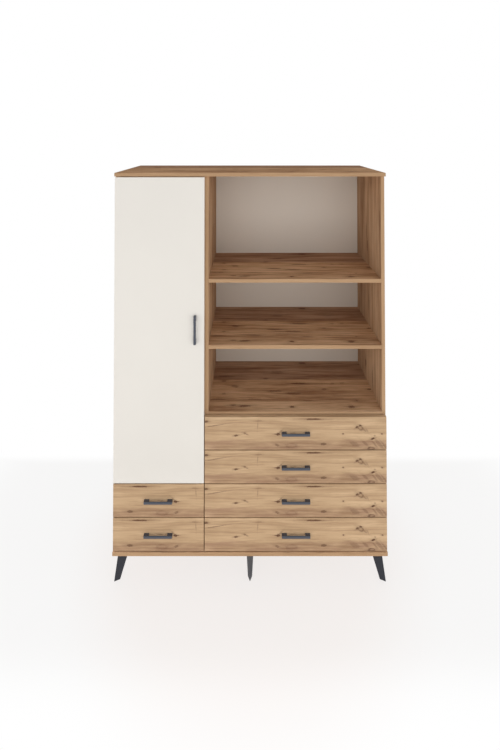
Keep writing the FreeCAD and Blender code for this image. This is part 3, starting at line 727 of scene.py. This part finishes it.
def lined_hardboard(name, white_side):
    """Hardboard with a white face on one side and bare brown fibres on the other."""
    paint = settings().paint
    look = Look(name)
    clouds = look.even_noise(waves=4, detail=3)
    white = look.shaded(opaque(paint.lining), look.total(0.965, (clouds, 0.05)))
    fibres = look.even_noise(waves=260, detail=3, roughness=0.7)
    flakes = look.even_noise(waves=70, detail=4, roughness=0.75)
    mottle = look.total(0.48, (flakes, 0.7), (fibres, 0.35))
    brown = look.shaded(opaque(paint.hardboard), mottle)
    lined = look.ease(look.vector("DOT_PRODUCT", look.true_normal(), white_side), *LINED_FACE)
    gloss = look.ease(lined, 0, 1, 0.85, 0.5)
    look.bump(fibres, depth=0.0002, strength=0.3)
    return look.finish(look.mix(lined, brown, white), gloss, specular=0.3)


def powder_coat(name, colour, roughness, specular):
    """Powder coat: a fine orange peel and slightly worn, paler high spots."""
    look = Look(name)
    peel = look.even_noise(waves=900)
    clouds = look.even_noise(waves=30, detail=3)
    shade = look.total(0.82, (peel, 0.14), (clouds, 0.22))
    gloss = look.uneven(clouds, roughness - 0.05, roughness + 0.07)
    look.bump(peel, depth=0.00012, strength=0.5)
    return look.finish(look.shaded(opaque(colour), shade), gloss, specular=specular)


def plated(name, colour, roughness, waves):
    """Plated steel with fine marks drawn out along one axis."""
    look = Look(name)
    lines = look.noise(look.place, waves)
    clouds = look.even_noise(waves=40)
    shade = look.total(0.86, (clouds, 0.08), (lines, 0.16))
    gloss = look.total(roughness, (lines, 0.12))
    look.bump(lines, depth=0.00005, strength=0.4)
    return look.finish(look.shaded(opaque(colour), shade), gloss, metallic=1.0)


def waxed_hardwood(name, colour):
    """Plain hardwood with its grain from front to rear."""
    look = Look(name)
    lines = look.noise(look.place, (240, 8, 240), detail=4)
    clouds = look.noise(look.place, (20, 3, 20))
    shade = look.total(0.65, (clouds, 0.3), (lines, 0.4))
    gloss = look.uneven(clouds, 0.42, 0.55)
    look.bump(lines, depth=0.0002, strength=0.4)
    return look.finish(look.shaded(opaque(colour), shade), gloss, specular=0.35)


def clear_rubber(name, colour):
    """Smooth, slightly cloudy rubber."""
    look = Look(name)
    clouds = look.even_noise(waves=300)
    shade = look.total(0.93, (clouds, 0.1))
    return look.finish(look.shaded(opaque(colour), shade), look.uneven(clouds, 0.3, 0.4))


def dress(material, *nodes):
    """Gives CAD nodes a finish."""
    for node in nodes:
        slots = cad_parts[node].data.materials
        slots.clear()
        slots.append(material)


def drawer_nodes(drawers, *parts):
    """The CAD nodes of some parts of drawers."""
    return [f"{drawer}_{part}" for drawer in drawers for part in parts]


def add_object(name, bm, material):
    """A new object from a finished bmesh, which is freed."""
    mesh = bpy.data.meshes.new(name)
    bm.to_mesh(mesh)
    bm.free()
    mesh.materials.append(material)
    added = bpy.data.objects.new(name, mesh)
    bpy.context.scene.collection.objects.link(added)
    return added


def add_piece(name, shape, places, material, body):
    """A new piece with the same shape at each of its places, riding on a body."""
    bm = bmesh.new()
    for place in places:
        shape(bm, place)
    bmesh.ops.recalc_face_normals(bm, faces=bm.faces)
    piece = add_object(name, bm, material)
    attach(piece, body)


def facing(point, direction):
    """A frame at a point whose Z axis follows a direction."""
    return Matrix.Translation(point) @ Vector(direction).to_track_quat("Z", "Y").to_matrix().to_4x4()


# A screw head's crown and the inset of its recess, as shares of its radius
SCREW_SIDES = 24
CROWN_SHARE = 0.86
RECESS_INSET = 0.45

# Its rounded rim and the depth of its recess, as shares of its height
RIM_STEPS = 3
RIM_SHARE = 0.35
RECESS_DEPTH = 0.6


def top_face(verts):
    """The highest of the faces that some vertices belong to."""
    faces = {face for vert in verts for face in vert.link_faces}
    return max(faces, key=lambda face: face.calc_center_median().z)


def screw_head(bm, place):
    """A pan head with a rounded rim and a drive recess, standing on its place."""
    fitting = settings().fitting
    radius, height = fitting.screw_radius, fitting.screw_height
    made = bmesh.ops.create_cone(
        bm, cap_ends=True, segments=SCREW_SIDES, radius1=radius, radius2=radius * CROWN_SHARE, depth=height,
        matrix=Matrix.Translation((0, 0, height / 2)),
    )
    rim = list(top_face(made["verts"]).edges)
    rounded = bmesh.ops.bevel(
        bm, geom=rim, offset=height * RIM_SHARE, segments=RIM_STEPS,
        profile=0.5, affect="EDGES", material=-1,
    )
    whole = {vert for vert in (*made["verts"], *rounded["verts"]) if vert.is_valid}
    crown = top_face(whole)
    inset = bmesh.ops.inset_region(bm, faces=[crown], thickness=radius * RECESS_INSET)
    bmesh.ops.translate(bm, verts=crown.verts, vec=(0, 0, -height * RECESS_DEPTH))
    whole |= {vert for face in (crown, *inset["faces"]) for vert in face.verts}
    bmesh.ops.transform(bm, matrix=place, verts=list(whole))


def add_screws(name, places, body):
    """A piece of plated screw heads."""
    add_piece(name, screw_head, places, bpy.data.materials["hinge_nickel"], body)


BUFFER_SIDES = 24
BUFFER_RINGS = 12


def buffer_dome(bm, place):
    """A low dome of clear rubber."""
    fitting = settings().fitting
    made = bmesh.ops.create_uvsphere(bm, u_segments=BUFFER_SIDES, v_segments=BUFFER_RINGS, radius=1)
    verts = made["verts"]
    size = Matrix.Diagonal((fitting.buffer_radius, fitting.buffer_radius, fitting.buffer_height, 1))
    bmesh.ops.transform(bm, matrix=size, verts=verts)
    edges = {edge for vert in verts for edge in vert.link_edges}
    faces = {face for vert in verts for face in vert.link_faces}
    cut = bmesh.ops.bisect_plane(
        bm, geom=[*verts, *edges, *faces], plane_co=(0, 0, 0), plane_no=DOWNWARD, clear_outer=True,
    )
    ring = [item for item in cut["geom_cut"] if isinstance(item, bmesh.types.BMEdge)]
    bmesh.ops.contextual_create(bm, geom=ring)
    kept = {vert for edge in ring for vert in edge.verts}
    kept |= {vert for vert in verts if vert.is_valid}
    bmesh.ops.transform(bm, matrix=place, verts=list(kept))


class FinishDrawerFronts(bpy.types.Operator):
    """Oak print on the drawer fronts"""

    bl_idname = "chifforobe.finish_drawer_fronts"
    bl_label = "Drawer fronts"

    def execute(self, context):
        right = front_wood("oak_front_right", RIGHT_DRAWERS)
        dress(right, *drawer_nodes(RIGHT_DRAWERS, "front"))
        left = front_wood("oak_front_left", LEFT_DRAWERS, mirrored=True)
        dress(left, *drawer_nodes(LEFT_DRAWERS, "front"))
        return {"FINISHED"}


class FinishCarcass(bpy.types.Operator):
    """Oak print on the carcass boards"""

    bl_idname = "chifforobe.finish_carcass"
    bl_label = "Carcass boards"

    def execute(self, context):
        wood = settings().wood
        shelves_left, front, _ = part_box("right_deck")[0]
        origin = (shelves_left, front, 0)
        level = board_wood("oak_level", "xyz", origin, LEVEL_PATTERN, wood.level_front, wood.level_rear_tint_and_shade)
        dress(level, *LEVEL_BOARDS)
        top = board_wood("oak_top", "xyz", origin, LEVEL_PATTERN, wood.top_front_shade, wood.top_rear_tint_and_shade)
        dress(top, "top_panel")
        upright = board_wood(
            "oak_upright", "zyx", (0, front, 0), UPRIGHT_PATTERN, wood.upright_front_shade, wood.upright_rear_tint_and_shade,
        )
        dress(upright, *UPRIGHT_BOARDS)
        return {"FINISHED"}


class FinishDoor(bpy.types.Operator):
    """Off-white laminate on the door"""

    bl_idname = "chifforobe.finish_door"
    bl_label = "Door"

    def execute(self, context):
        dress(laminate("door_laminate", settings().paint.door, roughness=0.42, grain=700), "door_panel")
        return {"FINISHED"}


class FinishLinings(bpy.types.Operator):
    """Back panel, drawer boxes and runners"""

    bl_idname = "chifforobe.finish_linings"
    bl_label = "Back and drawer boxes"

    def execute(self, context):
        paint = settings().paint
        dress(lined_hardboard("lined_back", FORWARD), "back_panel")
        dress(lined_hardboard("lined_bottom", UPWARD), *drawer_nodes(DRAWERS, "bottom"))
        box_board = laminate("box_laminate", paint.lining, roughness=0.5, grain=420)
        dress(box_board, *drawer_nodes(DRAWERS, "sides", "back"))
        dress(waxed_hardwood("waxed_runner", paint.runner), "drawer_runners")
        return {"FINISHED"}


class FinishMetal(bpy.types.Operator):
    """Handles, legs, hinges and hanging rail"""

    bl_idname = "chifforobe.finish_metal"
    bl_label = "Metal fittings"

    def execute(self, context):
        paint = settings().paint
        handle_coat = powder_coat("handle_coat", paint.handle, roughness=0.34, specular=0.75)
        dress(handle_coat, *drawer_nodes(DRAWERS, "handle"), "door_handle")
        dress(powder_coat("leg_coat", paint.leg, roughness=0.48, specular=0.4), *LEGS)
        nickel = plated("hinge_nickel", paint.nickel, roughness=0.28, waves=(400, 400, 40))
        dress(nickel, "hinge_arms", "hinge_cups", "hinge_pins", "shelf_pins")
        chrome = plated("rail_chrome", paint.chrome, roughness=0.10, waves=(20, 600, 600))
        dress(chrome, "hanging_rail", "rail_sockets")
        return {"FINISHED"}


class AddHandleScrews(bpy.types.Operator):
    """Screw heads behind every handle"""

    bl_idname = "chifforobe.add_handle_screws"
    bl_label = "Handle screws"

    def execute(self, context):
        reach = settings().fitting.handle_screw_reach
        panels = {drawer: f"{drawer}_front" for drawer in DRAWERS}
        panels["door"] = "door_panel"
        for body, panel in panels.items():
            low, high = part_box(f"{body}_handle")
            middle = (low + high) / 2
            middle.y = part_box(panel)[1].y
            span = high - low
            axis = Vector(RIGHTWARD if span.x > span.z else UPWARD)
            places = [facing(middle + side * reach * axis, REARWARD) for side in (-1, 1)]
            add_screws(f"{body}_handle_screws", places, body)
        return {"FINISHED"}


class AddHingeScrews(bpy.types.Operator):
    """Screw heads on the hinge cups and on their blocks"""

    bl_idname = "chifforobe.add_hinge_screws"
    bl_label = "Hinge screws"

    def execute(self, context):
        fitting = settings().fitting
        cup_low, cup_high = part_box("hinge_cups")
        arm_low, arm_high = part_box("hinge_arms")
        lowest = arm_low.z + fitting.block_width / 2
        highest = arm_high.z - fitting.block_width / 2
        levels = (lowest, (lowest + highest) / 2, highest)
        across = (cup_low.x + cup_high.x) / 2
        cups = [
            facing((across, cup_high.y, level + side * fitting.cup_screw_reach), REARWARD)
            for level in levels for side in (-1, 1)
        ]
        front = arm_high.y - fitting.block_length + fitting.block_screw_inset
        rear = arm_high.y - fitting.block_screw_inset
        blocks = [facing((arm_high.x, y, level), RIGHTWARD) for level in levels for y in (front, rear)]
        add_screws("hinge_cup_screws", cups, "door")
        add_screws("hinge_block_screws", blocks, "carcass")
        return {"FINISHED"}


# Screw holes of a leg's plate, as shares of its half width and depth
LEG_SCREW_SHARES = ((0, 0.46), (-0.36, 0.8), (0.36, 0.8))


def outer_end(low, high, direction):
    """The end of a range that a direction points to, or its middle where it points to neither."""
    if math.isclose(direction, 0, abs_tol=0.1):
        return (low + high) / 2
    return low if direction < 0 else high


class AddLegScrews(bpy.types.Operator):
    """Screw heads under the plates of the legs"""

    bl_idname = "chifforobe.add_leg_screws"
    bl_label = "Leg screws"

    def execute(self, context):
        fitting = settings().fitting
        places = []
        for leg, turn in LEGS.items():
            low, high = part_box(leg)
            turned = Matrix.Rotation(math.radians(turn), 4, "Z")
            outward = turned @ Vector(FORWARD)
            tip = Vector((
                outer_end(low.x, high.x, outward.x),
                outer_end(low.y, high.y, outward.y),
                high.z - fitting.leg_plate_thickness,
            ))
            for across_share, depth_share in LEG_SCREW_SHARES:
                across = across_share * fitting.leg_plate_width / 2
                along = fitting.leg_splay + depth_share * fitting.leg_plate_depth
                places.append(facing(tip + turned @ Vector((across, along, 0)), DOWNWARD))
        add_screws("leg_screws", places, "carcass")
        return {"FINISHED"}


class AddDoorBuffers(bpy.types.Operator):
    """Clear buffers that the door closes on"""

    bl_idname = "chifforobe.add_door_buffers"
    bl_label = "Door buffers"

    def execute(self, context):
        inset = settings().fitting.buffer_inset
        upright_low, upright_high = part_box("wardrobe_upright")
        door_low, door_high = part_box("door_panel")
        across = (upright_low.x + upright_high.x) / 2
        levels = (door_low.z + inset, door_high.z - inset)
        places = [facing((across, upright_low.y, level), FORWARD) for level in levels]
        rubber = clear_rubber("buffer_rubber", settings().paint.buffer)
        add_piece("door_buffers", buffer_dome, places, rubber, "carcass")
        return {"FINISHED"}


def seen_white(tree):
    """1 where a ray comes from the camera, a reflection or a clear piece, so that it meets white."""
    path = tree.nodes.new("ShaderNodeLightPath")
    seen = path.outputs["Is Camera Ray"]
    for kind in ("Is Glossy Ray", "Is Transmission Ray"):
        either = tree.nodes.new("ShaderNodeMath")
        either.operation = "MAXIMUM"
        tree.links.new(seen, either.inputs[0])
        tree.links.new(path.outputs[kind], either.inputs[1])
        seen = either.outputs[0]
    return seen


def pale_floor(name):
    """A pale floor with a soft shadow, painted warm bounce light round the chifforobe, fading to white far
    away.
    """
    stage = settings().stage
    look = Look(name)
    seen = seen_white(look.tree)
    far = look.vector("LENGTH", look.flattened(look.place))
    y = look.split(look.place)[1]
    behind = look.ease(y, stage.floor_rear, stage.floor_rear_end)
    in_front = look.ease(y, -stage.floor_front, -stage.floor_front_end)
    fade = look.ease(far, stage.floor_round, stage.floor_round_end)
    fade = look.math("MAXIMUM", look.math("MAXIMUM", fade, behind), in_front)
    grit = look.total(0.98, (look.even_noise(waves=5, detail=4), 0.02))
    pale = look.shaded(opaque(stage.floor), grit)
    dimmed = look.shaded(pale, look.ease(fade, 0, 1, stage.floor_shade, 0))
    # Painted bounce light: the floor's glow turns warmer near the chifforobe
    painted_bounce = look.ease(far, stage.floor_painted_bounce_start, stage.floor_painted_bounce_end)
    glow = look.ease(fade, 0, 1, stage.floor_white - stage.floor_shade, 1)
    look.feed(look.shader.inputs["Emission Color"], look.mix(painted_bounce, opaque(stage.floor_painted_bounce), WHITE))
    look.feed(look.shader.inputs["Emission Strength"], look.math("MULTIPLY", seen, glow))
    return look.finish(look.mix(seen, pale, dimmed), roughness=0.9, specular=0.0)


FLOOR_SIDES = 96

# Each light panel with its turn from the front, in degrees
LIGHT_PANELS = {"front_panel": 0, "right_panel": 90, "rear_panel": 180, "left_panel": 270}


class SetStage(bpy.types.Operator):
    """Camera, soft light, white surroundings and floor"""

    bl_idname = "chifforobe.set_stage"
    bl_label = "Studio"

    def execute(self, context):
        self.lay_floor()
        self.light_surroundings(context.scene)
        self.hang_lamps()
        self.set_camera(context.scene)
        context.scene.view_settings.view_transform = "Standard"
        return {"FINISHED"}

    def lay_floor(self):
        """A wide round floor under the feet."""
        stage = settings().stage
        bm = bmesh.new()
        bmesh.ops.create_circle(bm, cap_ends=True, segments=FLOOR_SIDES, radius=stage.floor_radius)
        bmesh.ops.translate(bm, verts=bm.verts, vec=(0, 0, -stage.floor_drop))
        floor = add_object("studio_floor", bm, pale_floor("floor_pale"))

    def light_surroundings(self, scene):
        """A world that gives soft light and is seen as white."""
        world = bpy.data.worlds.new("studio_white")
        world.use_nodes = True
        nodes, links = world.node_tree.nodes, world.node_tree.links
        nodes.clear()
        blend = nodes.new("ShaderNodeMixShader")
        output = nodes.new("ShaderNodeOutputWorld")
        links.new(seen_white(world.node_tree), blend.inputs[0])
        for socket, strength in ((1, settings().stage.ambient), (2, 1)):
            background = nodes.new("ShaderNodeBackground")
            background.inputs["Color"].default_value = WHITE
            background.inputs["Strength"].default_value = strength
            links.new(background.outputs[0], blend.inputs[socket])
        links.new(blend.outputs[0], output.inputs["Surface"])
        scene.world = world

    def hang_lamps(self):
        """Four upright panels round the chifforobe, and a level one over the floor before it."""
        stage = settings().stage
        upright = Matrix.Rotation(math.radians(90), 4, "X")
        stand = Matrix.Translation((0, -stage.panel_back, stage.panel_height / 2)) @ upright
        for name, turn in LIGHT_PANELS.items():
            place = Matrix.Rotation(math.radians(turn), 4, "Z") @ stand
            self.hang_lamp(name, stage.panel_width, stage.panel_height, stage.panel_power, place)
        place = Matrix.Translation((0, -stage.floor_light_back, stage.floor_light_height))
        width, depth = stage.floor_light_width, stage.floor_light_depth
        self.hang_lamp("floor_panel", width, depth, stage.floor_light_power, place)

    def hang_lamp(self, name, width, height, watts, place):
        """One light panel that reflections don't show."""
        lamp = bpy.data.lights.new(name, "AREA")
        lamp.shape = "RECTANGLE"
        lamp.size, lamp.size_y = width, height
        lamp.energy = watts
        holder = bpy.data.objects.new(name, lamp)
        holder.matrix_world = place
        holder.visible_glossy = False
        bpy.context.scene.collection.objects.link(holder)

    def set_camera(self, scene):
        """The camera of the photograph, before the middle of the chifforobe."""
        stage = settings().stage
        data = bpy.data.cameras.new("camera")
        data.lens = stage.lens
        data.shift_y = stage.camera_shift
        camera = bpy.data.objects.new("camera", data)
        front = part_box("top_panel")[0].y
        camera.location = (0, front - stage.camera_back, stage.camera_height)
        camera.rotation_euler = (math.pi / 2 + stage.camera_pitch, 0, 0)
        scene.collection.objects.link(camera)
        scene.camera = camera


PIECES = (
    FinishDrawerFronts, FinishCarcass, FinishDoor, FinishLinings, FinishMetal,
    AddHandleScrews, AddHingeScrews, AddLegScrews, AddDoorBuffers, SetStage,
)


class ChifforobePanel(bpy.types.Panel):
    """Lists the steps and settings of the chifforobe"""

    bl_idname = "VIEW3D_PT_chifforobe"
    bl_label = "Chifforobe"
    bl_space_type = "VIEW_3D"
    bl_region_type = "UI"
    bl_category = "Chifforobe"

    def draw(self, context):
        column = self.layout.column()
        for piece in PIECES:
            column.operator(piece.bl_idname)
        for group in ("wood", "paint", "fitting", "stage"):
            values = getattr(context.scene.chifforobe, group)
            box = self.layout.box()
            for name in values.__annotations__:
                box.prop(values, name)


GROUPS = (WoodSettings, PaintSettings, FittingSettings, StageSettings, ChifforobeSettings)


def register():
    """Makes the settings, steps and panel known."""
    for kind in (*GROUPS, *PIECES, ChifforobePanel):
        bpy.utils.register_class(kind)
    bpy.types.Scene.chifforobe = PointerProperty(type=ChifforobeSettings)


def unregister():
    """Takes the settings, steps and panel away again."""
    del bpy.types.Scene.chifforobe
    for kind in reversed((*GROUPS, *PIECES, ChifforobePanel)):
        bpy.utils.unregister_class(kind)


def main():
    """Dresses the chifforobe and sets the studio."""
    register()
    bpy.ops.chifforobe.finish_drawer_fronts()
    bpy.ops.chifforobe.finish_carcass()
    bpy.ops.chifforobe.finish_door()
    bpy.ops.chifforobe.finish_linings()
    bpy.ops.chifforobe.finish_metal()
    bpy.ops.chifforobe.add_handle_screws()
    bpy.ops.chifforobe.add_hinge_screws()
    bpy.ops.chifforobe.add_leg_screws()
    bpy.ops.chifforobe.add_door_buffers()
    bpy.ops.chifforobe.set_stage()


if __name__ == "__main__":
    main()
